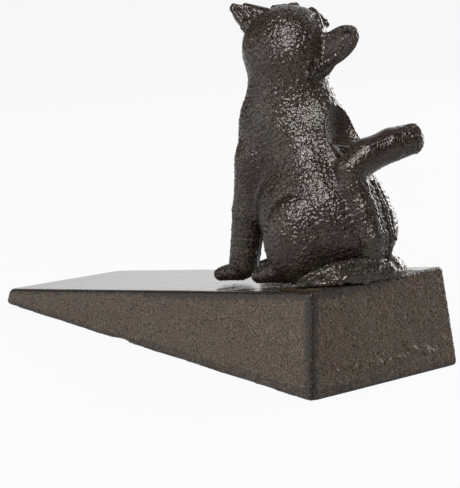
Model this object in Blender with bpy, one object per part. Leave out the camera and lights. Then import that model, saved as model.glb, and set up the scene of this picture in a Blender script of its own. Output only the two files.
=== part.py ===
"""A cast iron doorstop: a hollow drafted wedge with a sitting kitten screwed to its thick end.

The x axis runs from the thin tip to the thick back, y across, z up. The origin is on the floor, at the
middle of the wedge's base. Sizes are in metres. The kitten's anatomy is in its own millimetres, which are
real ones while its head is at the height given here, because it is sculpted from many small forms.
"""
from math import ceil, cos, pi, radians, sin, sqrt

import bmesh
import bpy
import numpy as np
from mathutils import Matrix, Vector

# The wedge
WEDGE_LENGTH = 0.140
BACK_WIDTH = 0.053
TIP_WIDTH = 0.0434
BACK_HEIGHT = 0.026
TIP_HEIGHT = 0.0045
SIDE_DRAFT = 0.108
REAR_LEAN = 0.0035
TIP_SETBACK = 0.0013
TIP_CORNER_RADIUS = 0.005
BACK_CORNER_RADIUS = 0.0012
EDGE_ROUND = 0.0006

# The hollow under the wedge
WALL = 0.006
ROOF = 0.006
LEAST_HOLLOW_DEPTH = 0.004
HOLLOW_CORNER_RADIUS = 0.003
BOSS_DIAMETER = 0.017
BOSS_FACE_HEIGHT = 0.0125
CHIP_X = -0.0092
CHIP_LENGTH = 0.008
CHIP_HEIGHT = 0.0007

# The fastening, an M6 screw from below
SCREW_DIAMETER = 0.006
SCREW_LENGTH = 0.025
HEAD_ACROSS_FLATS = 0.010
HEAD_HEIGHT = 0.004
FIT_GAP = 0.0003
WASHER_DIAMETER = 0.012
WASHER_THICKNESS = 0.0016
SPRING_WASHER_DIAMETER = 0.0111
SPRING_WASHER_THICKNESS = 0.0016
SPRING_WASHER_SPLIT = 0.0014
BLIND_HOLE_SPARE = 0.002
CUTTER_OVERRUN = 0.002

# Where the kitten sits, how high its head is, and how far its paws stay above the wedge
SEAT_BEFORE_BACK = 0.0205
HEAD_CENTRE = (-16.5, 0, 58.4)
HEAD_CENTRE_HEIGHT = 0.0584
PAW_LIFT = 0.001
BEAD_GAP = 0.0004

# The kitten's gaze: turned from the tip towards its own right, raised, and tilted sideways
HEAD_TURN = radians(75)
HEAD_RAISE = radians(40)
HEAD_TILT = radians(18)

# How finely the castings are faceted
FIGURE_VOXEL = 0.0008
FIGURE_KEEP = 0.16
BEAD_VOXEL = 0.0006
BEAD_KEEP = 0.22

DECK_SLOPE = (BACK_HEIGHT - TIP_HEIGHT) / (WEDGE_LENGTH - REAR_LEAN - TIP_SETBACK)
REAR_TOP_X = WEDGE_LENGTH / 2 - REAR_LEAN
SEAT_X = WEDGE_LENGTH / 2 - SEAT_BEFORE_BACK
MM = HEAD_CENTRE_HEIGHT / HEAD_CENTRE[2]


def deck_height(x):
    """Height of the wedge's sloping top above the floor."""
    return BACK_HEIGHT - DECK_SLOPE * (REAR_TOP_X - x)


SEAT = Vector((SEAT_X, 0, deck_height(SEAT_X)))


# Plain helpers

def new_material(name, colour, metallic, roughness):
    material = bpy.data.materials.new(name)
    material.use_nodes = True
    shader = material.node_tree.nodes["Principled BSDF"]
    shader.inputs["Base Color"].default_value = (*colour, 1)
    shader.inputs["Metallic"].default_value = metallic
    shader.inputs["Roughness"].default_value = roughness
    return material


def new_object(name, mesh, material=None):
    obj = bpy.data.objects.new(name, mesh)
    bpy.context.scene.collection.objects.link(obj)
    if material:
        mesh.materials.clear()
        mesh.materials.append(material)
        mesh.shade_smooth()
        mesh.set_sharp_from_angle(angle=radians(35))
    return obj


def mesh_from(bm, name):
    bmesh.ops.recalc_face_normals(bm, faces=bm.faces)
    mesh = bpy.data.meshes.new(name)
    bm.to_mesh(mesh)
    bm.free()
    return mesh


def baked_mesh(obj):
    """The object's mesh with its modifiers applied; the object itself is removed."""
    graph = bpy.context.evaluated_depsgraph_get()
    mesh = bpy.data.meshes.new_from_object(obj.evaluated_get(graph))
    bpy.data.objects.remove(obj)
    return mesh


def new_cutter(name, mesh):
    cutter = new_object(name, mesh)
    cutter.hide_render = True
    cutter.display_type = "WIRE"
    return cutter


def add_boolean(obj, cutter, operation):
    modifier = obj.modifiers.new(cutter.name, "BOOLEAN")
    modifier.object = cutter
    modifier.operation = operation
    modifier.solver = "EXACT"


def cylinder_mesh(name, diameter, bottom, top, sides=40):
    """A cylinder on the screw's axis."""
    bm = bmesh.new()
    bmesh.ops.create_cone(bm, cap_ends=True, segments=sides, radius1=diameter / 2, radius2=diameter / 2,
                          depth=top - bottom)
    bmesh.ops.translate(bm, verts=bm.verts, vec=(SEAT.x, SEAT.y, (top + bottom) / 2))
    return mesh_from(bm, name)


# The wedge

def plan_outline(inset, front_x, back_x, tip_radius, back_radius):
    """Corner points, with rounded corners, of the wedge's plan set in by a distance at every side."""
    taper = (BACK_WIDTH - TIP_WIDTH) / 2 / WEDGE_LENGTH

    def half_width(x):
        return TIP_WIDTH / 2 + taper * (x + WEDGE_LENGTH / 2) - inset

    points = []
    for x, sign, radius, first in ((front_x, -1, tip_radius, 180), (back_x, -1, back_radius, 270),
                                   (back_x, 1, back_radius, 0), (front_x, 1, tip_radius, 90)):
        inward = 1 if x == front_x else -1
        centre = Vector((x + inward * radius, sign * (half_width(x + inward * radius) - radius)))
        steps = 6 if radius > 0.002 else 2
        for step in range(steps + 1):
            angle = radians(first + 90 * step / steps)
            points.append(centre + radius * Vector((cos(angle), sin(angle))))
    return points


def drafted_solid(name, outline, bottom_z, top_height, front_setback, rear_lean, bevel):
    """A solid over a plan outline whose walls lean in as they rise to a sloping top."""
    bm = bmesh.new()
    low = []
    high = []
    back = max(point.x for point in outline)
    front = min(point.x for point in outline)
    for point in outline:
        share = (point.x - front) / (back - front)
        top_x = point.x - rear_lean * share + front_setback * (1 - share)
        top_z = top_height(top_x)
        side = 1 if point.y > 0 else -1
        low.append(bm.verts.new((point.x, point.y, bottom_z)))
        high.append(bm.verts.new((top_x, point.y - side * SIDE_DRAFT * (top_z - bottom_z), top_z)))
    count = len(outline)
    for i in range(count):
        j = (i + 1) % count
        bm.faces.new((low[i], low[j], high[j], high[i]))
    bm.faces.new(high)
    bm.faces.new(low[::-1])
    if bevel > 0:
        rim = [edge for edge in bm.edges if all(vert in high for vert in edge.verts)]
        bmesh.ops.bevel(bm, geom=rim, offset=bevel, segments=2, profile=0.5, affect="EDGES")
    return mesh_from(bm, name)


def hollow_front_x():
    """Where the roof over the hollow leaves its least depth."""
    return REAR_TOP_X - (BACK_HEIGHT - ROOF - LEAST_HOLLOW_DEPTH) / DECK_SLOPE


def build_wedge(material):
    half = WEDGE_LENGTH / 2
    outline = plan_outline(0, -half, half, TIP_CORNER_RADIUS, BACK_CORNER_RADIUS)
    wedge = new_object("wedge_base", drafted_solid("wedge_base", outline, 0, deck_height, TIP_SETBACK,
                                                   REAR_LEAN, EDGE_ROUND), material)
    roof_drop = ROOF * sqrt(1 + DECK_SLOPE ** 2)
    inner = plan_outline(WALL, hollow_front_x(), half - WALL, HOLLOW_CORNER_RADIUS, HOLLOW_CORNER_RADIUS)
    hollow = new_cutter("hollow_cutter", drafted_solid("hollow_cutter", inner, -CUTTER_OVERRUN,
                                                       lambda x: deck_height(x) - roof_drop, 0, REAR_LEAN, 0))
    boss = new_cutter("boss_form", cylinder_mesh("boss_form", BOSS_DIAMETER, BOSS_FACE_HEIGHT,
                                                 SEAT.z - ROOF / 2))
    bore = new_cutter("screw_bore", cylinder_mesh("screw_bore", SCREW_DIAMETER + 2 * FIT_GAP, 0,
                                                  SEAT.z + ROOF))
    chip_edge = TIP_WIDTH / 2 + (BACK_WIDTH - TIP_WIDTH) / 2 * (CHIP_X + half) / WEDGE_LENGTH
    bm = bmesh.new()
    bmesh.ops.create_uvsphere(bm, u_segments=12, v_segments=8, radius=1)
    bmesh.ops.scale(bm, verts=bm.verts, vec=(CHIP_LENGTH / 2, 2 * CHIP_HEIGHT, CHIP_HEIGHT))
    bmesh.ops.translate(bm, verts=bm.verts, vec=(CHIP_X, -chip_edge, 0))
    chip = new_cutter("chip_cutter", mesh_from(bm, "chip_cutter"))
    add_boolean(wedge, hollow, "DIFFERENCE")
    add_boolean(wedge, boss, "UNION")
    add_boolean(wedge, bore, "DIFFERENCE")
    add_boolean(wedge, chip, "DIFFERENCE")
    return wedge


# Sculpted forms. Each has a distance function and a rough mesh, in the kitten's millimetres

class Lobe:
    """An ellipsoid, with its radii along its own axes."""

    def __init__(self, centre, radii, blend=2.0, axes=((1, 0, 0), (0, 1, 0), (0, 0, 1))):
        self.centre = np.array(centre, float)
        self.radii = np.array(radii, float)
        self.axes = np.array([Vector(axis).normalized() for axis in axes], float)
        self.blend = blend

    def distance(self, points):
        local = (points - self.centre) @ self.axes.T
        near = np.linalg.norm(local / self.radii, axis=1)
        slope = np.linalg.norm(local / self.radii ** 2, axis=1)
        return near * (near - 1) / np.maximum(slope, 1e-9)

    def add_to(self, bm):
        made = bmesh.ops.create_icosphere(bm, subdivisions=3, radius=1)
        for vert in made["verts"]:
            vert.co = Vector(self.centre + (np.array(vert.co) * self.radii) @ self.axes)


class Limb:
    """A round bar between two points, with its own radius at each end."""

    def __init__(self, start, end, start_radius, end_radius, blend=1.5):
        self.start = np.array(start, float)
        self.end = np.array(end, float)
        self.start_radius = start_radius
        self.end_radius = end_radius
        self.blend = blend

    def distance(self, points):
        run = self.end - self.start
        share = np.clip((points - self.start) @ run / (run @ run), 0, 1)
        nearest = self.start + share[:, None] * run
        radius = self.start_radius + share * (self.end_radius - self.start_radius)
        return np.linalg.norm(points - nearest, axis=1) - radius

    def add_to(self, bm):
        run = self.end - self.start
        steps = ceil(2 * np.linalg.norm(run) / min(self.start_radius, self.end_radius))
        for step in range(steps + 1):
            share = step / steps
            radius = self.start_radius + share * (self.end_radius - self.start_radius)
            bmesh.ops.create_icosphere(bm, subdivisions=2, radius=radius,
                                       matrix=Matrix.Translation(self.start + share * run))


def smooth_min(a, b, reach):
    mix = np.clip(0.5 + 0.5 * (b - a) / reach, 0, 1)
    return b + (a - b) * mix - reach * mix * (1 - mix)


def form_distance(points, solids, hollows):
    """Distance to the blended union of the solids, less the hollows."""
    total = solids[0].distance(points)
    for solid in solids[1:]:
        total = smooth_min(total, solid.distance(points), solid.blend)
    for hollow in hollows:
        total = -smooth_min(-total, hollow.distance(points), hollow.blend)
    return total


def settle(mesh, distance, level):
    """Move each vertex onto the surface where the distance equals the level."""
    count = len(mesh.vertices)
    points = np.empty(count * 3)
    mesh.vertices.foreach_get("co", points)
    points = points.reshape(count, 3) / MM
    nudge = 0.02
    for _ in range(8):
        value = distance(points) - level
        slope = np.stack([distance(points + axis) - distance(points - axis)
                          for axis in nudge * np.eye(3)], axis=1) / (2 * nudge)
        steep = np.maximum((slope ** 2).sum(1), 0.2)
        points -= slope * np.clip(value / steep, -0.4, 0.4)[:, None]
    mesh.vertices.foreach_set("co", (points * MM).ravel())
    mesh.update()


def cast_form(name, solids, hollows, voxel, level=0.0):
    """One closed skin over the blended forms, level millimetres outside their surface."""
    bm = bmesh.new()
    for solid in solids:
        solid.add_to(bm)
    bmesh.ops.scale(bm, verts=bm.verts, vec=(MM, MM, MM))
    mesh = mesh_from(bm, name)
    for _ in range(2):
        rough = new_object(name + "_rough", mesh)
        remesh = rough.modifiers.new("skin", "REMESH")
        remesh.mode = "VOXEL"
        remesh.voxel_size = voxel
        mesh = baked_mesh(rough)
        settle(mesh, lambda points: form_distance(points, solids, hollows), level)
    mesh.name = name
    return mesh


# The kitten, in its own millimetres from its seat on the wedge

def from_seat(x, y, z):
    return (SEAT.x / MM + x, y, SEAT.z / MM + z)


def on_deck(x, y, z):
    """A point whose height is measured from the deck straight below it."""
    world_x = SEAT.x / MM + x
    return (world_x, y, deck_height(world_x * MM) / MM + z)


def body_forms():
    """Trunk, haunches and neck."""
    forms = [
        Lobe(from_seat(0.5, 0, 12.7), (17, 16.8, 13.5)),
        Lobe(from_seat(-3.5, 0, 21.7), (16.5, 15.5, 16), blend=4),
        Lobe(from_seat(-14, 0, 33.7), (15, 13.4, 14.5), blend=4),
        Limb(from_seat(-15.5, 0, 40.7), from_seat(-16.7, 0, 53.7), 12.0, 10.1, blend=4),
        Lobe(from_seat(3.5, 0, 1.5), (13, 14, 5), blend=2),
    ]
    for side in (-1, 1):
        forms.append(Lobe(from_seat(0.7, side * 10.8, 11.8), (12.8, 7, 10.6), blend=1.0))
    return forms


def leg_forms():
    """Forelegs with their toes, and the hind paws under the haunches."""
    forms = []
    for side in (-1, 1):
        shoulder = from_seat(-19.5, side * 8.2, 29.7)
        elbow = from_seat(-22.3, side * 8.2, 16)
        wrist = on_deck(-24.9, side * 7.8, PAW_LIFT / MM + 4.8)
        forms.append(Limb(shoulder, elbow, 5.6, 4.5, blend=2.5))
        forms.append(Limb(elbow, wrist, 4.5, 4.0, blend=1))
        for spread in (-2.1, 0, 2.1):
            heel = on_deck(-26, side * 7.8 + spread * 0.5, PAW_LIFT / MM + 2.6)
            toe = on_deck(-33 + abs(spread) * 0.5, side * 7.8 + spread, PAW_LIFT / MM + 1.8)
            forms.append(Limb(heel, toe, 2.6, 1.8, blend=0.8))
        for spread in (-1.9, 0, 1.9):
            heel = on_deck(-4, side * 13 + spread * 0.3, PAW_LIFT / MM + 3.2)
            toe = on_deck(-12.4 + abs(spread) * 0.5, side * 13 + spread, PAW_LIFT / MM + 1.9)
            forms.append(Limb(heel, toe, 3.2, 1.9, blend=0.8))
    return forms


def tail_forms():
    """The tail runs up the spine from the rump, then hooks out over the kitten's right side."""
    route = [
        (from_seat(15.2, 1.2, 9), 2.6),
        (from_seat(15.6, 1.2, 13), 3.2),
        (from_seat(13.4, 0.8, 19), 3.3),
        (from_seat(9.8, 0.2, 25.5), 3.4),
        (from_seat(8.2, 0.8, 30.2), 3.9),
        (from_seat(9.9, 4.5, 33.3), 4.2),
        (from_seat(12.2, 9.0, 35.3), 4.0),
        (from_seat(14.6, 13.3, 36.5), 3.5),
    ]
    return [Limb(a, b, ra, rb, blend=0.7) for (a, ra), (b, rb) in zip(route, route[1:])]


class HeadFrame:
    """Places head forms by their distance forward, to the right and up from the head's middle."""

    def __init__(self):
        forward_flat = Vector((-cos(HEAD_TURN), sin(HEAD_TURN), 0))
        right = forward_flat.cross(Vector((0, 0, 1)))
        forward = cos(HEAD_RAISE) * forward_flat + sin(HEAD_RAISE) * Vector((0, 0, 1))
        tilt = Matrix.Rotation(HEAD_TILT, 3, forward)
        right = tilt @ right
        self.axes = (forward, right, right.cross(forward))
        self.centre = Vector(from_seat(*HEAD_CENTRE))

    def way(self, forward, right, up):
        return forward * self.axes[0] + right * self.axes[1] + up * self.axes[2]

    def at(self, forward, right, up):
        return self.centre + self.way(forward, right, up)


def head_forms():
    """Skull, cheeks, muzzle, eyes and ears, and what is hollowed out of the ears."""
    head = HeadFrame()
    axes = head.axes
    forms = [
        Lobe(head.at(0, 0, 0), (11.3, 11.3, 10.8), blend=3, axes=axes),
        Lobe(head.at(9.0, 0, -3.2), (5.6, 5.0, 4.0), blend=2, axes=axes),
        Lobe(head.at(13.4, 0, -1.6), (1.5, 1.9, 1.3), blend=0.8, axes=axes),
        Lobe(head.at(10.0, 0, -5.8), (3.4, 2.8, 2.4), blend=1, axes=axes),
    ]
    for side in (-1, 1):
        forms.append(Lobe(head.at(4.5, side * 6.0, -3.8), (5.5, 5.0, 5.0), blend=2, axes=axes))
        forms.append(Lobe(head.at(8.9, side * 4.4, 2.2), (1.9, 2.1, 1.9), blend=0.6, axes=axes))
    right_ear = add_ear(forms, head, head.at(-1.4, 8.1, 2.9), head.at(4.3, 17.3, 8.3), 1, 5.2)
    left_ear = add_ear(forms, head, head.at(0.7, -9.4, 4.4), head.at(4.1, -17.4, 7.2), -1, 4.8)
    return forms, [right_ear, left_ear]


def add_ear(forms, head, root, tip, side, half_width):
    """A leaf from the root to the tip, open to the back and outwards. Returns what is scooped from it."""
    run = tip - root
    along = run.normalized()
    opening = head.way(-0.45, side * 0.3, 0.8)
    opening = (opening - along * opening.dot(along)).normalized()
    leaf = (along, along.cross(opening), opening)
    for share, length, width, thickness in ((0.12, 4.6, 1, 2.5), (0.5, 4.4, 0.8, 2.0), (0.76, 3.2, 0.56, 1.4)):
        forms.append(Lobe(root + share * run, (length, width * half_width, thickness), blend=1.2, axes=leaf))
    return Lobe(root + 0.45 * run + 4.1 * opening, (6.2, 0.74 * half_width, 3.6), blend=0.5, axes=leaf)


def figure_forms():
    head, hollows = head_forms()
    return body_forms() + leg_forms() + tail_forms() + head, hollows


def deck_block(name, gap):
    """A block that fills the space under the deck plane, raised by the gap."""
    reach = 0.05
    low = -0.01
    rise = gap * sqrt(1 + DECK_SLOPE ** 2)
    bm = bmesh.new()
    front = SEAT_X - reach
    back = SEAT_X + reach
    profile = ((front, low), (back, low), (back, deck_height(back) + rise), (front, deck_height(front) + rise))
    near = [bm.verts.new((x, -reach, z)) for x, z in profile]
    far = [bm.verts.new((x, reach, z)) for x, z in profile]
    bm.faces.new(near)
    bm.faces.new(far[::-1])
    for i in range(4):
        j = (i + 1) % 4
        bm.faces.new((near[j], near[i], far[i], far[j]))
    return mesh_from(bm, name)


def build_figure(material):
    solids, hollows = figure_forms()
    figure = new_object("cat_figure", cast_form("cat_figure", solids, hollows, FIGURE_VOXEL), material)
    thin_out = figure.modifiers.new("facets", "DECIMATE")
    thin_out.ratio = FIGURE_KEEP
    add_boolean(figure, new_cutter("seat_cutter", deck_block("seat_cutter", FIT_GAP)), "DIFFERENCE")
    depth = screw_tip_z() + BLIND_HOLE_SPARE
    hole = new_cutter("tapped_hole", cylinder_mesh("tapped_hole", SCREW_DIAMETER + 2 * FIT_GAP, 0, depth))
    add_boolean(figure, hole, "DIFFERENCE")
    return figure


# The filler round the seat

def bead_forms():
    """Lumps laid from the near haunch round the rump and over the wedge's rear top edge."""
    route = [
        (on_deck(6.5, -17, 0.3), 1.5),
        (on_deck(10.5, -15, 1.0), 2.4),
        (on_deck(12.6, -11, 1.8), 3.3),
        (on_deck(14.0, -5.5, 1.9), 3.5),
        (on_deck(14.6, 0.5, 1.6), 3.2),
        (on_deck(14.2, 6.5, 1.6), 3.3),
        (on_deck(11.5, 12.0, 0.8), 2.6),
        (on_deck(6.5, 16.2, 0.2), 1.6),
    ]
    lumps = [
        (on_deck(8.6, -17.0, 0.8), 1.6),
        (on_deck(14.4, -12.6, 1.4), 2.2),
        (on_deck(12.8, -8.4, 3.0), 2.4),
        (on_deck(16.2, -5.0, 0.8), 2.0),
        (on_deck(16.4, 3.2, 1.6), 2.3),
        (on_deck(13.6, 9.6, 2.2), 2.2),
    ]
    forms = [Limb(a, b, ra, rb, blend=1.0) for (a, ra), (b, rb) in zip(route, route[1:])]
    return forms + [Lobe(centre, (radius, radius, radius), blend=0.8) for centre, radius in lumps]


def build_bead(material):
    bead = new_object("filler_bead", cast_form("filler_bead", bead_forms(), [], BEAD_VOXEL), material)
    thin_out = bead.modifiers.new("facets", "DECIMATE")
    thin_out.ratio = BEAD_KEEP
    half = WEDGE_LENGTH / 2
    outline = plan_outline(-FIT_GAP, -half - FIT_GAP, half + FIT_GAP, TIP_CORNER_RADIUS, BACK_CORNER_RADIUS)
    rise = FIT_GAP * sqrt(1 + DECK_SLOPE ** 2)
    block = drafted_solid("wedge_clearance", outline, 0, lambda x: deck_height(x) + rise, TIP_SETBACK,
                          REAR_LEAN, EDGE_ROUND)
    add_boolean(bead, new_cutter("wedge_clearance", block), "DIFFERENCE")
    solids, hollows = figure_forms()
    skin = cast_form("figure_clearance", solids, hollows, FIGURE_VOXEL, BEAD_GAP / MM)
    cutter = new_cutter("figure_clearance", skin)
    thin_out = cutter.modifiers.new("facets", "DECIMATE")
    thin_out.ratio = FIGURE_KEEP
    add_boolean(bead, cutter, "DIFFERENCE")
    return bead


# The fastening

def stack_top():
    """Height of the face that the washers bear on."""
    return BOSS_FACE_HEIGHT - FIT_GAP


def head_top_z():
    return stack_top() - WASHER_THICKNESS - FIT_GAP - SPRING_WASHER_THICKNESS - FIT_GAP


def screw_tip_z():
    return head_top_z() + SCREW_LENGTH


def ring_mesh(name, outer, inner, bottom, top, split=0.0):
    """A flat ring about the screw's axis, open over the split if there is one."""
    sides = 40
    gap = split / ((outer + inner) / 4)
    profile = ((inner / 2, bottom), (outer / 2, bottom), (outer / 2, top), (inner / 2, top))
    bm = bmesh.new()
    sections = []
    for step in range(sides + 1 if split else sides):
        angle = gap / 2 + (2 * pi - gap) * step / sides
        sections.append([bm.verts.new((SEAT.x + radius * cos(angle), SEAT.y + radius * sin(angle), z))
                         for radius, z in profile])
    following = sections[1:] if split else sections[1:] + sections[:1]
    for here, there in zip(sections, following):
        for i in range(4):
            j = (i + 1) % 4
            bm.faces.new((here[i], here[j], there[j], there[i]))
    if split:
        bm.faces.new(sections[0])
        bm.faces.new(sections[-1])
    return mesh_from(bm, name)


def build_fastening(screw_steel, washer_steel, spring_steel):
    top = stack_top()
    bore = SCREW_DIAMETER + 2 * FIT_GAP
    flat_bottom = top - WASHER_THICKNESS
    new_object("flat_washer", ring_mesh("flat_washer", WASHER_DIAMETER, bore, flat_bottom, top), washer_steel)
    spring_top = flat_bottom - FIT_GAP
    new_object("spring_washer", ring_mesh("spring_washer", SPRING_WASHER_DIAMETER, bore,
                                          spring_top - SPRING_WASHER_THICKNESS, spring_top,
                                          SPRING_WASHER_SPLIT), spring_steel)
    head_top = head_top_z()
    across_corners = HEAD_ACROSS_FLATS / cos(radians(30))
    screw = new_object("fixing_screw", cylinder_mesh("fixing_screw", SCREW_DIAMETER, head_top - HEAD_HEIGHT / 2,
                                                     screw_tip_z(), sides=32), screw_steel)
    head = cylinder_mesh("screw_head", across_corners, head_top - HEAD_HEIGHT, head_top, sides=6)
    add_boolean(screw, new_cutter("screw_head", head), "UNION")


def main():
    for obj in list(bpy.data.objects):
        bpy.data.objects.remove(obj)
    build_wedge(new_material("base_iron", (0.118, 0.092, 0.075), 0.6, 0.5))
    build_figure(new_material("figure_iron", (0.110, 0.090, 0.076), 0.6, 0.45))
    build_bead(new_material("iron_filler", (0.098, 0.080, 0.068), 0.4, 0.6))
    build_fastening(new_material("screw_steel", (0.36, 0.36, 0.37), 0.9, 0.35),
                    new_material("washer_steel", (0.42, 0.42, 0.43), 0.9, 0.35),
                    new_material("spring_steel", (0.16, 0.16, 0.17), 0.9, 0.45))


main()
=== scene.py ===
"""The looks of the cast iron doorstop: two pebbly sand castings, their filler and their fastening."""
from math import ceil, cos, pi, radians, sin, sqrt
import bmesh
import bpy
import numpy as np
from mathutils import Matrix, Vector, noise


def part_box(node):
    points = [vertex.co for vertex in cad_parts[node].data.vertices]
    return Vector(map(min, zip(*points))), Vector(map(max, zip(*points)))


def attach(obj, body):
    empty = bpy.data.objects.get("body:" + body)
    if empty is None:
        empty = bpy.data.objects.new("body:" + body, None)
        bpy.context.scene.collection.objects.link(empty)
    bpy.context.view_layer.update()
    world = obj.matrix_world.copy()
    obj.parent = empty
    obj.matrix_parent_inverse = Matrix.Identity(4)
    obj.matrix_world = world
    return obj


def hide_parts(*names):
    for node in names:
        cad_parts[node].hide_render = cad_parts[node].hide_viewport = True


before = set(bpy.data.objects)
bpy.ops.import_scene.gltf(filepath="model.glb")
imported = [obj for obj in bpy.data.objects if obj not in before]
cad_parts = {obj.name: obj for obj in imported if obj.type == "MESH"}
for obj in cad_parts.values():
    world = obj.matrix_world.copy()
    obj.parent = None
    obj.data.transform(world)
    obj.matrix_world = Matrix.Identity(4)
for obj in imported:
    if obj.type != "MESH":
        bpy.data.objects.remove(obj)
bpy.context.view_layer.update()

# One millimetre in metres; the castings are sculpted in millimetres and scaled when they are done
MM = 0.001


# The wedge, read from its CAD node where it can be, in millimetres
WEDGE_LOW, WEDGE_HIGH = (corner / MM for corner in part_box("wedge_base"))
LENGTH = WEDGE_HIGH.x - WEDGE_LOW.x
BACK_WIDTH = 53.6
TIP_WIDTH = 43.4
BACK_HEIGHT = 26.0
TIP_HEIGHT = 4.5
SIDE_DRAFT = 0.108
REAR_LEAN = 3.5
TIP_SETBACK = 1.3
TIP_CORNER_RADIUS = 2.5
WALL = 6.0
ROOF = 6.0
LEAST_HOLLOW_DEPTH = 4.0
HOLLOW_CORNER_RADIUS = 3.0
BOSS_RADIUS = 8.5
BOSS_FACE_HEIGHT = 12.5
CHIP_X = -9.2
CHIP_LENGTH = 8.0
CHIP_HEIGHT = 0.7

# The lumpy line across the rear face: how high it is above the floor at each distance across
WELT = ((-19.4, 5.8), (-13.6, 5.5), (-2.3, 4.8), (6.6, 5.3), (9.8, 7.1), (12.6, 5.3), (19.6, 4.8))
WELT_WIDTH = 0.9
SCRATCH_HEIGHT = 0.06
REAR_MARK_DEPTH = 0.8

# The fastening's axis and bore, from the screw's node
SCREW_LOW, SCREW_HIGH = (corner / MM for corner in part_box("fixing_screw"))
SEAT_X = (SCREW_LOW.x + SCREW_HIGH.x) / 2
BORE_RADIUS = 3.3
BLIND_HOLE_SPARE = 2.0
FIT_GAP = 0.3
PAW_LIFT = 1.0

# The kitten's gaze: turned from the tip towards its own right, raised, and tilted sideways
HEAD_TURN = radians(75)
HEAD_RAISE = radians(40)
HEAD_TILT = radians(18)

# The patina: how much of its grain it keeps where it faces up, worn smooth by doors, how dark it is on edges
# (painted contact shadow along the floor edge), how much of it is metal, and how high its grain stands in
# metres
DECK_GRAIN = 0.2
EDGE_AND_CONTACT_SHADOW_SHARE = 0.75
PATINA_METAL = 0.25
PATINA_BUMP = 0.00016

# How finely the castings are skinned, how often the skin is settled, and how high its lumps stand
FIGURE_VOXEL = 0.28
WEDGE_VOXEL = 0.5
BEAD_VOXEL = 0.28
SETTLE_STEPS = 6
FIGURE_LUMPS = 0.24
WEDGE_LUMPS = 0.22
BEAD_LUMPS = 0.25

# How high the long swells under the lumps stand
FIGURE_SWELL = 0.09
WEDGE_SWELL = 0.05

# What is left of the kitten's lumps in its smooth places, and how far out of them they come back
SMOOTH_SHARE = 0.2
SMOOTH_FADE = 1.5

# The wedge's lumps: their growth per millimetre towards the thick end, the wear of its edges, what is
# left on the deck, and how high above the floor they are whole
LUMP_GROWTH = 0.0014
EDGE_WEAR = 0.6
DECK_LUMPS = 0.1
FLOOR_FADE = 0.8

# How wide the wedge's dark edges are, at the near rear and elsewhere, and how softly they end
WIDE_EDGE = 2.7
NARROW_EDGE = 1.6
EDGE_FADE = 1.1

# The radii of the wedge's worn edges: upright ones, round the deck, round the floor, and inside
REAR_EDGE = 0.9
DECK_EDGE = 0.8
FLOOR_EDGE = 0.3
ROOF_EDGE = 0.8

# How far from a form it still counts, and a distance that is farther than any
NEAR_MARGIN = 4.0
FAR_AWAY = 1000.0

# The photograph's camera
CAMERA_PLACE = (0.34157, -0.29202, 0.10997)
CAMERA_AZIMUTH = radians(48.63)
CAMERA_ELEVATION = radians(10.65)
CAMERA_LENS = 120.5

# The way the camera looks, along the floor, and the way to the light behind the doorstop
AWAY = (-0.76, 0.65, 0)
BACKLIGHT_WAY = (-0.25, 0.96, 0.1)

# What the softboxes point at, in metres
DOORSTOP_MIDDLE = Vector((0.03, 0, 0.05))

# Linear colours
WHITE = (1, 1, 1, 1)
FLOOR_GREY = (0.45, 0.45, 0.45, 1)
# Darkens the wedge towards its edges; along the floor edge it is a painted contact shadow
EDGE_AND_CONTACT_SHADOW_BLACK = (0.008, 0.007, 0.007)

DECK_SLOPE = (BACK_HEIGHT - TIP_HEIGHT) / (LENGTH - REAR_LEAN - TIP_SETBACK)
REAR_TOP_X = LENGTH / 2 - REAR_LEAN


def deck_height(x):
    """Height of the wedge's sloping top above the floor."""
    return BACK_HEIGHT - DECK_SLOPE * (REAR_TOP_X - x)


def from_seat(x, y, z):
    """A point measured from where the screw's axis meets the deck."""
    return (SEAT_X + x, y, deck_height(SEAT_X) + z)


def on_deck(x, y, z):
    """A point whose height is measured from the deck straight below it."""
    return (SEAT_X + x, y, deck_height(SEAT_X + x) + z)


# Sculpted forms

class Lobe:
    """An ellipsoid, with its radii along its own axes."""

    def __init__(self, centre, radii, blend=2.0, axes=((1, 0, 0), (0, 1, 0), (0, 0, 1))):
        self.centre = np.array(centre, float)
        self.radii = np.array(radii, float)
        self.axes = np.array([Vector(axis).normalized() for axis in axes], float)
        self.blend = blend

    def near(self, points):
        reach = self.radii.max() + self.blend + NEAR_MARGIN
        return ((points - self.centre) ** 2).sum(1) < reach ** 2

    def distance(self, points):
        local = (points - self.centre) @ self.axes.T
        near = np.linalg.norm(local / self.radii, axis=1)
        slope = np.linalg.norm(local / self.radii ** 2, axis=1)
        return near * (near - 1) / np.maximum(slope, 1e-9)

    def add_to(self, bm):
        made = bmesh.ops.create_icosphere(bm, subdivisions=3, radius=1)
        for vert in made["verts"]:
            vert.co = Vector(self.centre + (np.array(vert.co) * self.radii) @ self.axes)


class Limb:
    """A round bar between two points, with its own radius at each end."""

    def __init__(self, start, end, start_radius, end_radius, blend=1.5):
        self.start = np.array(start, float)
        self.end = np.array(end, float)
        self.start_radius = start_radius
        self.end_radius = end_radius
        self.blend = blend

    def near(self, points):
        reach = max(self.start_radius, self.end_radius) + self.blend + NEAR_MARGIN
        low = np.minimum(self.start, self.end) - reach
        high = np.maximum(self.start, self.end) + reach
        return ((points > low) & (points < high)).all(1)

    def distance(self, points):
        run = self.end - self.start
        share = np.clip((points - self.start) @ run / (run @ run), 0, 1)
        nearest = self.start + share[:, None] * run
        radius = self.start_radius + share * (self.end_radius - self.start_radius)
        return np.linalg.norm(points - nearest, axis=1) - radius

    def add_to(self, bm):
        run = self.end - self.start
        steps = ceil(2 * np.linalg.norm(run) / min(self.start_radius, self.end_radius))
        for step in range(steps + 1):
            share = step / steps
            radius = self.start_radius + share * (self.end_radius - self.start_radius)
            bmesh.ops.create_icosphere(bm, subdivisions=2, radius=radius,
                                       matrix=Matrix.Translation(self.start + share * run))


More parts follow.
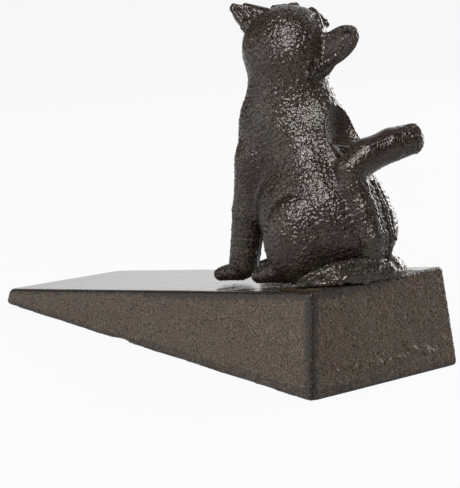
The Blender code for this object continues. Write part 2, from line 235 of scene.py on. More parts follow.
def smooth_min(a, b, reach):
    """The lesser of two distances, blended where they differ by less than the reach."""
    mix = np.clip(0.5 + 0.5 * (b - a) / reach, 0, 1)
    return b + (a - b) * mix - reach * mix * (1 - mix)


def round_max(a, b, radius):
    """The greater of two distances, with the corner between them rounded."""
    outside = np.hypot(np.maximum(a + radius, 0), np.maximum(b + radius, 0))
    return outside + np.minimum(np.maximum(a, b) + radius, 0) - radius


def form_distance(points, solids, hollows, over=()):
    """Distance to the blended solids, less the hollows, with the last forms laid over both."""
    total = np.full(len(points), FAR_AWAY)
    for solid in solids:
        near = solid.near(points)
        total[near] = smooth_min(total[near], solid.distance(points[near]), solid.blend)
    for hollow in hollows:
        near = hollow.near(points)
        total[near] = -smooth_min(-total[near], hollow.distance(points[near]), hollow.blend)
    for form in over:
        near = form.near(points)
        total[near] = smooth_min(total[near], form.distance(points[near]), form.blend)
    return total


def settle(points, distance):
    """Points moved onto the surface where the distance is nought."""
    nudge = 0.03
    least_steep = 0.2
    longest = 0.4
    corners = np.array([(1, 1, 1), (1, -1, -1), (-1, 1, -1), (-1, -1, 1)], float)
    for _ in range(SETTLE_STEPS):
        values = [distance(points + nudge * corner) for corner in corners]
        slope = sum(value[:, None] * corner for value, corner in zip(values, corners)) / (4 * nudge)
        steep = np.maximum((slope ** 2).sum(1), least_steep)
        points = points - slope * np.clip(sum(values) / 4 / steep, -longest, longest)[:, None]
    return points


def mesh_points(mesh, attribute="co"):
    points = np.empty(len(mesh.vertices) * 3)
    mesh.vertices.foreach_get(attribute, points)
    return points.reshape(-1, 3)


def place_points(mesh, points):
    mesh.vertices.foreach_set("co", points.ravel())
    mesh.update()


def new_object(name, mesh, material=None):
    obj = bpy.data.objects.new(name, mesh)
    bpy.context.scene.collection.objects.link(obj)
    if material:
        mesh.materials.clear()
        mesh.materials.append(material)
        mesh.shade_smooth()
    return obj


def mesh_from(bm, name):
    bmesh.ops.recalc_face_normals(bm, faces=bm.faces)
    mesh = bpy.data.meshes.new(name)
    bm.to_mesh(mesh)
    bm.free()
    return mesh


def baked_mesh(obj):
    """The object's mesh with its modifiers applied; the object itself is removed."""
    graph = bpy.context.evaluated_depsgraph_get()
    mesh = bpy.data.meshes.new_from_object(obj.evaluated_get(graph))
    bpy.data.objects.remove(obj)
    return mesh


def voxel_skin(name, mesh, voxel):
    rough = new_object(name + "_rough", mesh)
    remesh = rough.modifiers.new("skin", "REMESH")
    remesh.mode = "VOXEL"
    remesh.voxel_size = voxel
    return baked_mesh(rough)


def cast_skin(name, mesh, voxel, distance):
    """A mesh in millimetres, skinned coarse then fine and settled where the distance is nought."""
    for size in (2 * voxel, voxel):
        mesh = voxel_skin(name, mesh, size)
        place_points(mesh, settle(mesh_points(mesh), distance))
    mesh.name = name
    return mesh


def forms_mesh(name, solids):
    bm = bmesh.new()
    for solid in solids:
        solid.add_to(bm)
    return mesh_from(bm, name)


def grain(points, size, seed):
    """Smooth noise of about one unit each way, with bumps of about the given size."""
    shift = Vector((seed * 17.3, seed * 7.9, seed * 3.1))
    return np.array([noise.noise(Vector(point) + shift) for point in points / size])


def pebble(mesh, height, smooth_places=()):
    """Raise the skin into the fine lumps of a sand casting, less so in the smooth places."""
    points = mesh_points(mesh)
    normals = mesh_points(mesh, "normal")
    lumps = grain(points, 0.52, 1) + 0.5 * grain(points, 1.0, 2)
    for place in smooth_places:
        lumps *= np.clip(SMOOTH_SHARE + place.distance(points) / SMOOTH_FADE, SMOOTH_SHARE, 1)
    place_points(mesh, points + normals * (height * lumps + FIGURE_SWELL * grain(points, 5.0, 3))[:, None])


def cut(obj, name, mesh):
    cutter = new_object(name, mesh)
    modifier = obj.modifiers.new(name, "BOOLEAN")
    modifier.object = cutter
    modifier.operation = "DIFFERENCE"
    modifier.solver = "EXACT"
    return cutter


def in_metres(mesh):
    mesh.transform(Matrix.Scale(MM, 4))
    return mesh


# The kitten

def body_forms():
    """Trunk, haunches and neck."""
    forms = [
        Lobe(from_seat(-2.6, 2.7, 12.7), (17, 16.8, 13.5)),
        Lobe(from_seat(-5.4, 1.4, 18.4), (17.0, 16.2, 15.2), blend=4),
        Lobe(from_seat(-16.3, 2.1, 33.7), (15, 13.4, 14.5), blend=4),
        Limb(from_seat(-8.8, -2.7, 35.0), from_seat(0.9, -5.4, 18.5), 7.4, 7.4, blend=3),
        Limb(from_seat(-21.3, -6.5, 41.1), from_seat(-20.4, -9.1, 28.3), 3.6, 3.6, blend=3),
        Limb(from_seat(-7.4, 1.6, 43.8), from_seat(-4.4, 1.4, 39.2), 4.8, 5.7, blend=3),
        Limb(from_seat(-4.4, 1.4, 39.2), from_seat(1.6, 2.4, 32.4), 5.7, 6.0, blend=3),
        Limb(from_seat(-15.7, 0.1, 40.7), from_seat(-15.8, -0.8, 53.7), 12.0, 10.1, blend=4),
        Lobe(from_seat(3.5, 0, 1.5), (13, 14, 5), blend=2),
    ]
    for side in (-1, 1):
        outward = Vector((0.75, side * 0.66, 0))
        along = Vector((-side * 0.66, 0.75, 0))
        forms.append(Lobe(from_seat(0.1, side * 11.1, 12.0), (6.3, 9.4, 11.8), blend=0.5,
                          axes=(outward, along, (0, 0, 1))))
    return forms


def leg_forms():
    """Forelegs with their toes, and the hind paws under the haunches."""
    forms = []
    for side in (-1, 1):
        shoulder = from_seat(-19.5, side * 8.2, 29.7)
        elbow = from_seat(-22.3, side * 8.2, 16)
        wrist = on_deck(-24.9, side * 7.8, PAW_LIFT + 4.8)
        forms.append(Limb(shoulder, elbow, 5.6, 4.5, blend=2.5))
        forms.append(Limb(elbow, wrist, 4.5, 4.0, blend=1))
        for spread in (-2.1, 0, 2.1):
            heel = on_deck(-26, side * 7.8 + spread * 0.5, PAW_LIFT + 2.6)
            toe = on_deck(-33 + abs(spread) * 0.5, side * 7.8 + spread, PAW_LIFT + 1.8)
            forms.append(Limb(heel, toe, 2.6, 1.8, blend=0.6))
        for spread in (-1.9, 0, 1.9):
            heel = on_deck(-4, side * 13 + spread * 0.3, PAW_LIFT + 3.2)
            toe = on_deck(-12.4 + abs(spread) * 0.5, side * 13 + spread, PAW_LIFT + 1.9)
            forms.append(Limb(heel, toe, 3.2, 1.9, blend=0.6))
    return forms


def chain(route, blend):
    """Limbs through points that each carry a radius."""
    return [Limb(a, b, ra, rb, blend=blend) for (a, ra), (b, rb) in zip(route, route[1:])]


def tail_forms():
    """The tail's band up the spine from the rump, and its hook out over the kitten's right side."""
    band = chain([
        (from_seat(14.7, -0.6, 8), 2.6),
        (from_seat(14.6, -0.8, 13), 3.2),
        (from_seat(11.7, -0.9, 19), 3.6),
        (from_seat(8.8, -1.7, 25.0), 3.9),
        (from_seat(8.2, -1.6, 29.8), 4.1),
    ], blend=0.7)
    hook = chain([
        (from_seat(8.2, -1.6, 29.8), 4.1),
        (from_seat(9.4, 3.0, 32.8), 4.3),
        (from_seat(12.0, 8.6, 35.2), 4.2),
        (from_seat(14.2, 12.8, 36.4), 3.9),
    ], blend=0.7)
    for corner in (from_seat(15.2, 13.4, 38.6), from_seat(15.9, 13.2, 34.9)):
        hook.append(Lobe(corner, (1.8, 1.8, 1.8), blend=1.0))
    return band, hook


class HeadFrame:
    """Places head forms by their distance forward, to the right and up from the head's middle."""

    def __init__(self):
        forward_flat = Vector((-cos(HEAD_TURN), sin(HEAD_TURN), 0))
        right = forward_flat.cross(Vector((0, 0, 1)))
        forward = cos(HEAD_RAISE) * forward_flat + sin(HEAD_RAISE) * Vector((0, 0, 1))
        right = Matrix.Rotation(HEAD_TILT, 3, forward) @ right
        self.axes = (forward, right, right.cross(forward))
        self.centre = Vector(from_seat(-16.5, 0, 58.4))

    def at(self, forward, right, up):
        return self.centre + (forward * self.axes[0] + right * self.axes[1] + up * self.axes[2])


def head_forms(head):
    """Skull, cheeks, muzzle and eyes, and the mouth carved into them."""
    axes = head.axes
    forms = [
        Lobe(head.at(0, 0, 0), (11.3, 11.3, 10.8), blend=3, axes=axes),
        Lobe(head.at(0, -3.0, -1.0), (9.0, 9.2, 8.5), blend=2, axes=axes),
        Lobe(head.at(9.0, 0, -3.2), (5.6, 5.0, 4.0), blend=2, axes=axes),
        Lobe(head.at(10.0, 0, -5.8), (3.4, 2.8, 2.4), blend=1, axes=axes),
        Limb(head.at(9.8, 0, 3.2), head.at(13.6, 0, -1.0), 1.5, 1.1, blend=1.2),
        Lobe(head.at(14.0, 0, -1.5), (1.1, 1.7, 1.0), blend=0.4, axes=axes),
    ]
    hollows = [
        Limb(head.at(15.4, 0, -2.6), head.at(14.8, 0, -4.4), 0.5, 0.5, blend=0.3),
    ]
    for side in (-1, 1):
        forms.append(Lobe(head.at(4.5, side * 6.0, -3.8), (5.5, 5.0, 5.0), blend=2, axes=axes))
        forms.append(Lobe(head.at(12.2, side * 2.0, -3.9), (2.6, 2.2, 1.9), blend=0.5, axes=axes))
        forms.append(Limb(head.at(10.2, side * 2.3, 4.7), head.at(7.6, side * 7.4, 4.4), 1.0, 0.9, blend=0.8))
        forms.append(Lobe(head.at(9.3, side * 4.5, 2.0), (1.7, 2.1, 1.8), blend=0.25, axes=axes))
        hollows.append(Limb(head.at(15.0, side * 0.9, -4.9), head.at(12.6, side * 4.2, -5.9), 0.5, 0.5,
                            blend=0.3))
    return forms, hollows


def leaf_axes(tip, left, right):
    """Along a leaf to its tip, across its base, and out of its open face."""
    along = (tip - (left + right) / 2).normalized()
    out = (left - tip).cross(right - tip).normalized()
    return along, out.cross(along), out


def right_ear_forms(head):
    """The near ear: a thin leaf, recessed within a rim that turns up round it."""
    axes = leaf_axes(head.at(2.9, 17.3, 10.0), head.at(-7.0, 11.8, 0.8), head.at(1.8, 8.8, 6.4))
    leaf = [
        Lobe(head.at(0.5, 13.2, 5.2), (7.2, 4.4, 1.7), blend=1.2, axes=axes),
        Lobe(head.at(-2.1, 9.8, 1.6), (4.0, 4.8, 1.7), blend=1.2, axes=axes),
    ]
    rim = chain([
        (head.at(1.6, 8.6, 5.9), 1.0), (head.at(2.4, 11.6, 6.7), 0.85), (head.at(2.5, 13.3, 8.1), 0.8),
        (head.at(3.0, 14.9, 9.5), 0.75), (head.at(3.0, 16.2, 10.3), 0.7), (head.at(2.9, 17.3, 10.0), 0.7),
        (head.at(2.0, 17.5, 8.9), 0.7), (head.at(0.5, 17.2, 7.3), 0.75), (head.at(-0.8, 15.8, 6.0), 0.8),
        (head.at(-2.3, 14.2, 4.8), 0.8), (head.at(-3.8, 12.5, 3.6), 0.85), (head.at(-5.3, 11.0, 2.4), 0.9),
        (head.at(-7.0, 9.9, 1.2), 0.9),
    ], blend=0.5)
    crest = chain([
        (head.at(-0.6, 7.5, 6.0), 0.8), (head.at(-4.6, 7.8, 4.6), 0.8), (head.at(-7.1, 8.1, 3.5), 0.8),
        (head.at(-9.1, 9.5, 2.3), 0.8),
    ], blend=0.7)
    tufts = chain([(head.at(-4.4, 10.4, 4.4), 0.5), (head.at(-5.8, 10.8, 4.0), 0.6)], blend=0.5)
    tufts += chain([(head.at(-5.0, 12.0, 4.0), 0.5), (head.at(-6.4, 11.6, 3.4), 0.6)], blend=0.5)
    return leaf, rim + crest + tufts


def left_ear_forms(head):
    """The far ear, smaller in the picture, with the lump and the small knob behind its root."""
    axes = leaf_axes(head.at(2.7, -16.9, 6.3), head.at(-1.6, -11.8, 3.5), head.at(1.7, -11.7, 5.6))
    leaf = [
        Lobe(head.at(1.8, -13.6, 4.5), (4.4, 2.0, 1.2), blend=1.0, axes=axes),
        Lobe(head.at(0.4, -10.9, 4.0), (2.4, 2.2, 2.2), blend=1.2, axes=axes),
        Limb(head.at(6.5, -15.0, 3.1), head.at(7.0, -10.0, 1.6), 1.3, 2.2, blend=1.0),
        Limb(head.at(3.6, -13.2, 3.0), head.at(6.0, -12.5, 2.6), 1.2, 1.5, blend=1.0),
    ]
    rim = chain([
        (head.at(1.7, -11.7, 5.6), 0.8), (head.at(2.6, -13.0, 6.0), 0.75), (head.at(3.1, -14.9, 6.5), 0.7),
        (head.at(2.9, -16.6, 6.5), 0.7), (head.at(2.2, -16.7, 6.1), 0.65), (head.at(0.9, -14.6, 5.3), 0.65),
        (head.at(-0.3, -12.6, 4.4), 0.7), (head.at(-1.4, -11.2, 3.7), 0.8),
    ], blend=0.4)
    rim += chain([
        (head.at(-1.5, -12.3, 4.4), 0.5), (head.at(0.4, -11.7, 5.0), 0.5), (head.at(1.2, -11.0, 5.5), 0.5),
        (head.at(1.0, -8.8, 6.6), 0.4),
    ], blend=0.4)
    rim.append(Lobe(head.at(3.4, -10.6, 5.2), (1.0, 1.0, 1.0), blend=0.2))
    return leaf, rim


def fold_forms(head):
    """Folds and flash laid over the skin, from the skull down."""
    far_skull = chain([
        (head.at(-5.8, -7.4, 6.1), 0.5), (head.at(-1.4, -8.8, 6.5), 0.5), (head.at(0.3, -8.4, 7.0), 0.5),
        (head.at(3.7, -7.0, 7.9), 0.45),
    ], blend=0.5)
    near_skull = chain([
        (head.at(7.2, 5.3, 7.2), 0.5), (head.at(5.4, 6.5, 7.5), 0.55), (head.at(3.7, 7.8, 7.2), 0.5),
    ], blend=0.4)
    scruff = chain([
        (from_seat(-4.6, -2.6, 45.4), 1.1), (from_seat(-3.2, -0.4, 44.2), 1.5),
        (from_seat(-2.6, 3.0, 42.6), 1.5), (from_seat(-2.6, 6.4, 39.8), 1.2),
    ], blend=0.6)
    tail_root = chain([(from_seat(4.0, -4.0, 35.4), 0.5), (from_seat(9.2, -3.6, 31.6), 0.45)], blend=0.3)
    hook = chain([
        (from_seat(11.7, 1.0, 35.3), 0.6), (from_seat(14.1, 6.8, 37.6), 0.6),
        (from_seat(16.5, 11.7, 38.6), 0.6),
    ], blend=0.5)
    flank = chain([
        (from_seat(12.6, 1.9, 26.6), 0.5), (from_seat(15.8, 3.0, 20.0), 0.6),
        (from_seat(17.6, 3.6, 13.0), 0.6), (from_seat(16.9, 3.6, 7.0), 0.5),
    ], blend=0.6)
    flank += chain([
        (from_seat(12.0, 4.2, 25.6), 0.5), (from_seat(15.1, 5.2, 19.0), 0.6),
        (from_seat(16.7, 5.8, 12.0), 0.5),
    ], blend=0.6)
    return far_skull + near_skull + scruff + tail_root + hook + flank


def back_hollows(head):
    """The smooth valley down the spine below the scruff, and the dents beside the near ear's root."""
    along = Vector((0.67, -0.13, -0.73)).normalized()
    out = Vector((0.72, -0.2, 0.66)).normalized()
    return [
        Lobe(from_seat(9.3, 0.8, 40.0), (11.5, 8.8, 10), blend=0.25, axes=(along, out.cross(along), out)),
        Lobe(head.at(5.4, 6.1, 10.4), (2.2, 1.6, 2.2), blend=0.3),
        Limb(head.at(-0.9, 8.0, 9.0), head.at(3.6, 8.3, 8.6), 1.4, 1.3, blend=0.3),
    ]


def seat_cutter_mesh():
    """All that lies lower than the fitting gap above the deck, to give the kitten its flat seat."""
    reach = 50
    under = -10
    rise = FIT_GAP * sqrt(1 + DECK_SLOPE ** 2)
    front = SEAT_X - reach
    back = SEAT_X + reach
    profile = ((front, under), (back, under), (back, deck_height(back) + rise),
               (front, deck_height(front) + rise))
    bm = bmesh.new()
    near = [bm.verts.new((x, -reach, z)) for x, z in profile]
    far = [bm.verts.new((x, reach, z)) for x, z in profile]
    bm.faces.new(near)
    bm.faces.new(far[::-1])
    for i in range(4):
        j = (i + 1) % 4
        bm.faces.new((near[j], near[i], far[i], far[j]))
    return in_metres(mesh_from(bm, "seat_cutter"))


def bore_cutter_mesh():
    """The blind hole for the fixing screw."""
    top = SCREW_HIGH.z + BLIND_HOLE_SPARE
    bm = bmesh.new()
    bmesh.ops.create_cone(bm, cap_ends=True, segments=40, radius1=BORE_RADIUS, radius2=BORE_RADIUS,
                          depth=top)
    bmesh.ops.translate(bm, verts=bm.verts, vec=(SEAT_X, 0, top / 2))
    return in_metres(mesh_from(bm, "bore_cutter"))


def build_figure(material):
    head = HeadFrame()
    head_solids, head_hollows = head_forms(head)
    right_leaf, right_rim = right_ear_forms(head)
    left_leaf, left_rim = left_ear_forms(head)
    tail_band, tail_hook = tail_forms()
    solids = body_forms() + leg_forms() + tail_band + head_solids + right_leaf + left_leaf
    valley = back_hollows(head)
    hollows = valley + head_hollows
    over = tail_hook + fold_forms(head) + right_rim + left_rim
    mesh = cast_skin("cat_figure_cast", forms_mesh("cat_forms", solids + over), FIGURE_VOXEL,
                     lambda points: form_distance(points, solids, hollows, over))
    pebble(mesh, FIGURE_LUMPS, valley + right_leaf + left_leaf)
    figure = new_object("cat_figure_cast", in_metres(mesh), material)
    seat_cutter = cut(figure, "seat_cutter", seat_cutter_mesh())
    bore_cutter = cut(figure, "bore_cutter", bore_cutter_mesh())
    final = baked_mesh(figure)
    for cutter in (seat_cutter, bore_cutter):
        bpy.data.objects.remove(cutter)
    figure = new_object("cat_figure_cast", final, material)
    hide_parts("cat_figure")
    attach(figure, "root")


# The wedge

def half_width_at(x):
    """Half the wedge's width where it stands on the floor."""
    return TIP_WIDTH / 2 + (BACK_WIDTH - TIP_WIDTH) / 2 / LENGTH * (x + LENGTH / 2)


def past_rear(x, z):
    """How far a point lies behind the leaning rear face."""
    return x - LENGTH / 2 + REAR_LEAN / BACK_HEIGHT * z


def wedge_distance(points):
    """Distance to the wedge in millimetres, with its edges worn round."""
    x, y, z = points.T
    side = np.abs(y) - (half_width_at(x) - SIDE_DRAFT * z)
    tip = -x - LENGTH / 2 + TIP_SETBACK / TIP_HEIGHT * z
    rear = past_rear(x, z)
    deck = (z - deck_height(x)) / sqrt(1 + DECK_SLOPE ** 2)
    solid = round_max(round_max(side, tip, TIP_CORNER_RADIUS), rear, REAR_EDGE)
    nose = np.clip(1 - (x + LENGTH / 2) / 6, 0, 1)
    solid = round_max(round_max(solid, deck, DECK_EDGE + nose), -z, FLOOR_EDGE + 1.2 * nose)
    front_x = REAR_TOP_X - (BACK_HEIGHT - ROOF - LEAST_HOLLOW_DEPTH) / DECK_SLOPE
    hollow = round_max(round_max(side + WALL, front_x - x, HOLLOW_CORNER_RADIUS), rear + WALL,
                       HOLLOW_CORNER_RADIUS)
    hollow = round_max(hollow, deck + ROOF, ROOF_EDGE)
    solid = round_max(solid, -hollow, FLOOR_EDGE)
    from_axis = np.hypot(x - SEAT_X, y)
    boss = round_max(round_max(from_axis - BOSS_RADIUS, BOSS_FACE_HEIGHT - z, 0.5), deck + ROOF / 2, 0.1)
    solid = smooth_min(solid, boss, 0.6)
    solid = np.maximum(solid, BORE_RADIUS - from_axis)
    chip = Lobe((CHIP_X, -half_width_at(CHIP_X), 0), (CHIP_LENGTH / 2, 2 * CHIP_HEIGHT, CHIP_HEIGHT))
    return round_max(solid, -chip.distance(points), 0.1)


def edge_closeness(points):
    """One on the wedge's outer edges and nought from a few millimetres off them, unevenly; the colour is
    darkened there, as painted contact shadow along the floor edge.
    """
    x, y, z = points.T
    side = half_width_at(x) - SIDE_DRAFT * z - np.abs(y)
    faces = np.array([side, past_rear(x, z), deck_height(x) - z, z])
    second_nearest = np.sort(np.abs(faces), axis=0)[1]
    # Wider dark edges on the near side's rear half
    near_rear_half = (x > 0) & (y < 0) & (z > 1.5)
    width = np.where(near_rear_half, WIDE_EDGE, NARROW_EDGE)
    return np.clip((width + EDGE_FADE * grain(points, 1.5, 7) - second_nearest) / EDGE_FADE, 0, 1)


def rear_marks(points):
    """How far the rear face stands out: upright scratches, and a line of small lumps across it."""
    x, y, z = points.T
    rear = np.clip(1 + past_rear(x, z) / REAR_MARK_DEPTH, 0, 1)
    line = np.exp(-((z - np.interp(y, *zip(*WELT))) / WELT_WIDTH) ** 2)
    ends = np.clip((y - WELT[0][0]) / 2, 0, 1) * np.clip((WELT[-1][0] - y) / 2, 0, 1)
    scratches = SCRATCH_HEIGHT * grain(points * (1, 1, 0.15), 0.7, 8)
    return rear * (scratches + line * ends * (0.35 + 1.4 * grain(points, 1.2, 6)))


def smear(points):
    """One where filler was wiped over the deck, at the near rear corner and round the seat."""
    places = (Limb(on_deck(4, -18, 0), on_deck(19, -18, 0), 3.0, 5.5),
              Limb(on_deck(12, -10, 0), on_deck(12, 12, 0), 6.5, 5.0))
    near = np.minimum(places[0].distance(points), places[1].distance(points))
    return np.clip(0.7 - near / 1.2 + 1.2 * grain(points, 1.2, 9), 0, 1)


def build_wedge(material):
    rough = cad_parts["wedge_base"].data.copy()
    rough.transform(Matrix.Scale(1 / MM, 4))
    mesh = cast_skin("wedge_base_cast", rough, WEDGE_VOXEL, wedge_distance)
    points = mesh_points(mesh)
    normals = mesh_points(mesh, "normal")
    edge = edge_closeness(points)
    wiped = smear(points)
    height = WEDGE_LUMPS + LUMP_GROWTH * points[:, 0]
    lumps = height * grain(points, 0.62, 4) * (1 - EDGE_WEAR * edge)
    lumps = lumps * np.where(normals[:, 2] > 0.9, DECK_LUMPS + (1 - DECK_LUMPS) * wiped, 1)
    lumps = (lumps + rear_marks(points)) * np.clip(points[:, 2] / FLOOR_FADE, 0, 1)
    place_points(mesh, points + normals * (lumps + WEDGE_SWELL * grain(points, 6.0, 5))[:, None])
    # The edge mask darkens the colour; along the floor edge it paints the contact shadow
    mesh.attributes.new("edge", "FLOAT", "POINT").data.foreach_set("value", edge)
    mesh.attributes.new("smear", "FLOAT", "POINT").data.foreach_set("value", wiped)
    wedge = new_object("wedge_base_cast", in_metres(mesh), material)
    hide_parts("wedge_base")
    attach(wedge, "root")


# The filler round the seat

def bead_forms():
    """Lumps laid from the near haunch round the rump and over the wedge's rear top edge."""
    forms = chain([
        (on_deck(6.5, -17, 0.3), 1.5),
        (on_deck(10.5, -15, 1.0), 2.4),
        (on_deck(12.6, -11, 1.8), 3.3),
        (on_deck(14.0, -5.5, 1.9), 3.5),
        (on_deck(14.6, 0.5, 1.6), 3.2),
        (on_deck(14.2, 6.5, 1.6), 3.3),
        (on_deck(11.5, 12.0, 0.8), 2.6),
        (on_deck(6.5, 16.2, 0.2), 1.6),
    ], blend=1.0)
    lumps = [
        (on_deck(8.6, -17.0, 0.8), 1.6),
        (on_deck(14.4, -12.6, 1.4), 2.2),
        (on_deck(12.8, -8.4, 3.0), 2.4),
        (on_deck(16.2, -5.0, 0.8), 2.0),
        (on_deck(16.4, 3.2, 1.6), 2.3),
        (on_deck(13.6, 9.6, 2.2), 2.2),
    ]
    forms += [Lobe(centre, (radius, radius, radius), blend=0.8) for centre, radius in lumps]
    forms += chain([(from_seat(9.4, -17.8, 3.0), 0.8), (from_seat(11.4, -15.9, 4.9), 1.1),
                    (from_seat(13.5, -12.1, 6.6), 1.2), (from_seat(14.9, -7.9, 7.2), 1.2),
                    (from_seat(16.2, -3.9, 7.2), 1.1), (from_seat(17.3, 0.0, 6.6), 0.9)], blend=0.5)
    forms += chain([(from_seat(12.8, -16.0, 2.8), 0.8), (from_seat(15.0, -13.9, 3.6), 1.0),
                    (from_seat(16.4, -11.2, 4.4), 1.1), (from_seat(17.4, -7.0, 5.0), 1.1),
                    (from_seat(17.9, -2.2, 5.4), 1.0), (from_seat(17.2, 2.6, 6.2), 0.9)], blend=0.5)
    forms += chain([(from_seat(16.6, -9.8, 3.2), 0.7), (from_seat(17.3, -2.8, 3.6), 0.9),
                    (from_seat(17.4, 5.9, 3.8), 0.9)], blend=0.6)
    return forms


def build_bead(material):
    solids = bead_forms()

    def distance(points):
        total = form_distance(points, solids, [])
        return round_max(total, FIT_GAP - wedge_distance(points), 0.1)

    mesh = cast_skin("filler_bead_cast", forms_mesh("bead_forms", solids), BEAD_VOXEL, distance)
    pebble(mesh, BEAD_LUMPS)
    bead = new_object("filler_bead_cast", in_metres(mesh), material)
    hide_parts("filler_bead")
    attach(bead, "root")


# Materials

class Nodes:
    """A new material's node tree, with short calls to add and join nodes."""

    def __init__(self, name):
        self.material = bpy.data.materials.new(name)
        self.material.use_nodes = True
        self.tree = self.material.node_tree
        self.shader = self.tree.nodes["Principled BSDF"]

    def add(self, kind, **settings):
        node = self.tree.nodes.new(kind)
        for name, value in settings.items():
            setattr(node, name, value)
        return node

    def join(self, output, target):
        self.tree.links.new(output, target)

    def noise(self, size, detail=2.0):
        """Noise with features of the given size in metres."""
        place = self.add("ShaderNodeTexCoord")
        node = self.add("ShaderNodeTexNoise")
        node.inputs["Scale"].default_value = 1 / size
        node.inputs["Detail"].default_value = detail
        self.join(place.outputs["Object"], node.inputs["Vector"])
        return node.outputs["Fac"]

    def ramp(self, value, stops):
        node = self.add("ShaderNodeValToRGB")
        elements = node.color_ramp.elements
        while len(elements) < len(stops):
            elements.new(0.5)
        for element, (position, colour) in zip(elements, stops):
            element.position = position
            element.color = (*colour, 1)
        self.join(value, node.inputs["Fac"])
        return node.outputs["Color"]

    def mix(self, share, low, high, blend_type="MIX"):
        node = self.add("ShaderNodeMix", data_type="RGBA", blend_type=blend_type)
        self.set(node.inputs["Factor"], share)
        self.set(node.inputs["A"], low)
        self.set(node.inputs["B"], high)
        return node.outputs["Result"]

    def set(self, target, value):
        if isinstance(value, bpy.types.NodeSocket):
            self.join(value, target)
        elif isinstance(value, tuple):
            target.default_value = (*value, 1)
        else:
            target.default_value = value

    def range(self, value, low, high, from_low=0.0, from_high=1.0):
        """The value taken from its own range to the range from low to high."""
        node = self.add("ShaderNodeMapRange")
        limits = {"From Min": from_low, "From Max": from_high, "To Min": low, "To Max": high}
        for name, number in limits.items():
            node.inputs[name].default_value = number
        self.join(value, node.inputs["Value"])
        return node.outputs["Result"]

    def bump(self, height, distance, strength=1.0):
        node = self.add("ShaderNodeBump")
        self.set(node.inputs["Strength"], strength)
        node.inputs["Distance"].default_value = distance
        self.join(height, node.inputs["Height"])
        return node.outputs["Normal"]

    def maths(self, operation, a, b):
        node = self.add("ShaderNodeMath", operation=operation)
        self.set(node.inputs[0], a)
        self.set(node.inputs[1], b)
        return node.outputs["Value"]

    def larger(self, a, b):
        return self.maths("MAXIMUM", a, b)

    def times(self, a, b):
        return self.maths("MULTIPLY", a, b)


def patina(name, violet, olive, grain_size, contrast):
    """Brown patina over sand-cast iron: mottled; speckled with patina and painted shade in its pits and
    painted light on its tops; dark on its edges, with painted contact shadow along the floor edge; and worn
    smooth on top.
    """
    nodes = Nodes(name)
    brown = nodes.ramp(nodes.noise(0.008, detail=3.0), [(0.38, violet), (0.62, olive)])
    # The fine grain both raises the bump and colours it: darker in its pits, partly patina and partly painted
    # shade, and lighter on its tops, painted light
    fine = nodes.noise(grain_size, detail=1.0)
    shade = nodes.add("ShaderNodeCombineColor")
    for channel in shade.inputs:
        nodes.join(nodes.range(fine, 1 - contrast, 1 + contrast, 0.36, 0.64), channel)
    brown = nodes.mix(1.0, brown, shade.outputs["Color"], "MULTIPLY")
    # Darker towards the wedge's edges, a painted contact shadow along the floor edge
    edge = nodes.add("ShaderNodeAttribute", attribute_name="edge").outputs["Fac"]
    brown = nodes.mix(nodes.times(edge, EDGE_AND_CONTACT_SHADOW_SHARE), brown, EDGE_AND_CONTACT_SHADOW_BLACK)
    nodes.join(brown, nodes.shader.inputs["Base Color"])
    rise = nodes.add("ShaderNodeSeparateXYZ")
    nodes.join(nodes.add("ShaderNodeTexCoord").outputs["Normal"], rise.inputs[0])
    worn = nodes.range(rise.outputs["Z"], 1.0, DECK_GRAIN, 0.9, 0.97)
    wiped = nodes.add("ShaderNodeAttribute", attribute_name="smear").outputs["Fac"]
    worn = nodes.larger(worn, wiped)
    gloss = nodes.range(nodes.noise(0.002), 0.10, 0.21, 0.3, 0.7)
    nodes.join(nodes.times(gloss, nodes.range(worn, 0.2, 1.0, DECK_GRAIN)), nodes.shader.inputs["Roughness"])
    nodes.join(nodes.range(worn, 1.0, 0.5, DECK_GRAIN), nodes.shader.inputs["Specular IOR Level"])
    nodes.shader.inputs["Metallic"].default_value = PATINA_METAL
    nodes.join(nodes.bump(fine, PATINA_BUMP, worn), nodes.shader.inputs["Normal"])
    return nodes.material


def steel(name, colour, roughness):
    """Plain steel, faintly cloudy and brushed."""
    nodes = Nodes(name)
    nodes.join(nodes.mix(nodes.noise(0.002), tuple(0.8 * channel for channel in colour), colour),
               nodes.shader.inputs["Base Color"])
    nodes.shader.inputs["Metallic"].default_value = 0.9
    nodes.join(nodes.range(nodes.noise(0.0008, detail=3.0), roughness - 0.08, roughness + 0.12),
               nodes.shader.inputs["Roughness"])
    nodes.join(nodes.bump(nodes.noise(0.0005), 0.00001), nodes.shader.inputs["Normal"])
    return nodes.material


def dress_fastening():
    for node, colour, roughness in (("fixing_screw", (0.36, 0.36, 0.37), 0.32),
                                    ("flat_washer", (0.42, 0.42, 0.43), 0.35),
                                    ("spring_washer", (0.16, 0.16, 0.17), 0.45)):
        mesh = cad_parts[node].data
        mesh.materials.clear()
        mesh.materials.append(steel(node + "_steel", colour, roughness))


# The studio

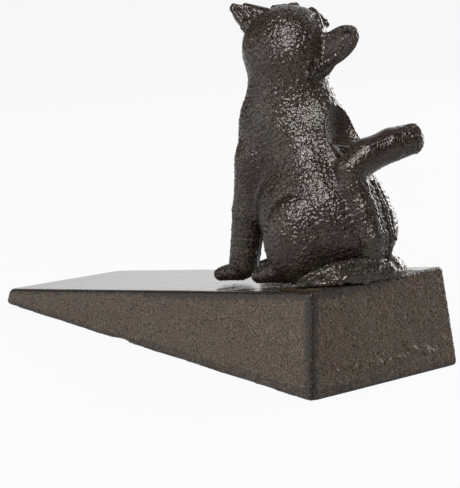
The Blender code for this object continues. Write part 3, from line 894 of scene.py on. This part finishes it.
def build_floor():
    """White to the camera, grey to the light, and bright in the deck's mirror."""
    bm = bmesh.new()
    bmesh.ops.create_circle(bm, cap_ends=True, segments=64, radius=6)
    nodes = Nodes("floor_white")
    nodes.shader.inputs["Base Color"].default_value = FLOOR_GREY
    nodes.shader.inputs["Roughness"].default_value = 0.9
    glow = nodes.add("ShaderNodeEmission")
    glow.inputs["Color"].default_value = WHITE
    seen = nodes.add("ShaderNodeLightPath")
    behind = nodes.add("ShaderNodeVectorMath", operation="DOT_PRODUCT")
    behind.inputs[1].default_value = AWAY
    nodes.join(nodes.add("ShaderNodeTexCoord").outputs["Object"], behind.inputs[0])
    mirrored = nodes.times(seen.outputs["Is Glossy Ray"],
                           nodes.range(behind.outputs["Value"], 0.2, 0.95, 0.03, 0.3))
    blend = nodes.add("ShaderNodeMixShader")
    nodes.join(nodes.larger(nodes.times(seen.outputs["Is Camera Ray"], 0.92), mirrored), blend.inputs["Fac"])
    nodes.join(nodes.shader.outputs["BSDF"], blend.inputs[1])
    nodes.join(glow.outputs["Emission"], blend.inputs[2])
    nodes.join(blend.outputs["Shader"], nodes.tree.nodes["Material Output"].inputs["Surface"])
    floor = new_object("floor", mesh_from(bm, "floor"), nodes.material)


def build_world():
    """White where the camera looks, and soft light from behind the doorstop and from its right."""
    world = bpy.data.worlds.new("studio")
    bpy.context.scene.world = world
    world.use_nodes = True
    tree = world.node_tree
    light = tree.nodes["Background"]
    place = tree.nodes.new("ShaderNodeTexCoord")
    toward = tree.nodes.new("ShaderNodeVectorMath")
    toward.operation = "DOT_PRODUCT"
    toward.inputs[1].default_value = BACKLIGHT_WAY
    tree.links.new(place.outputs["Generated"], toward.inputs[0])
    fade = tree.nodes.new("ShaderNodeMapRange")
    for name, number in (("From Min", 0.35), ("From Max", 0.86), ("To Min", 0.04), ("To Max", 1.0)):
        fade.inputs[name].default_value = number
    tree.links.new(toward.outputs["Value"], fade.inputs["Value"])
    tree.links.new(fade.outputs["Result"], light.inputs["Strength"])
    white = tree.nodes.new("ShaderNodeBackground")
    seen = tree.nodes.new("ShaderNodeLightPath")
    blend = tree.nodes.new("ShaderNodeMixShader")
    tree.links.new(seen.outputs["Is Camera Ray"], blend.inputs["Fac"])
    for background in (light, white):
        background.inputs["Color"].default_value = WHITE
    tree.links.new(light.outputs["Background"], blend.inputs[1])
    tree.links.new(white.outputs["Background"], blend.inputs[2])
    tree.links.new(blend.outputs["Shader"], tree.nodes["World Output"].inputs["Surface"])


def build_lamp(name, toward, distance, size, energy):
    """A round softbox, its way and distance measured from the doorstop's middle."""
    toward = Vector(toward).normalized()
    data = bpy.data.lights.new(name, "AREA")
    data.shape = "DISK"
    data.size = size
    data.energy = energy
    lamp = bpy.data.objects.new(name, data)
    bpy.context.scene.collection.objects.link(lamp)
    lamp.location = DOORSTOP_MIDDLE + distance * toward
    lamp.rotation_euler = toward.to_track_quat("Z", "Y").to_euler()


def build_camera():
    data = bpy.data.cameras.new("camera")
    data.lens = CAMERA_LENS
    data.sensor_width = 36
    camera = bpy.data.objects.new("camera", data)
    bpy.context.scene.collection.objects.link(camera)
    camera.location = CAMERA_PLACE
    camera.rotation_euler = (pi / 2 - CAMERA_ELEVATION, 0, CAMERA_AZIMUTH)
    bpy.context.scene.camera = camera


def main():
    # The figure and the filler take the wedge's patina in darker colours, a painted shade over them
    build_wedge(patina("base_patina", (0.068, 0.044, 0.029), (0.070, 0.051, 0.033), 0.00034, 0.85))
    build_figure(patina("figure_patina_painted_shade", (0.027, 0.016, 0.013), (0.034, 0.025, 0.018), 0.00045, 0.7))
    build_bead(patina("filler_patina_painted_shade", (0.030, 0.018, 0.013), (0.034, 0.028, 0.021), 0.00045, 0.7))
    dress_fastening()
    build_floor()
    build_world()
    build_lamp("key_softbox", (0.42, -0.56, 0.70), 0.8, 0.52, 9.0)
    build_lamp("side_softbox", (-0.45, -0.87, 0.15), 1.0, 0.8, 3.6)
    build_lamp("rim_softbox", (-0.12, 0.97, 0.17), 0.8, 0.6, 5.5)
    build_camera()
    bpy.context.scene.view_settings.view_transform = "Standard"


main()
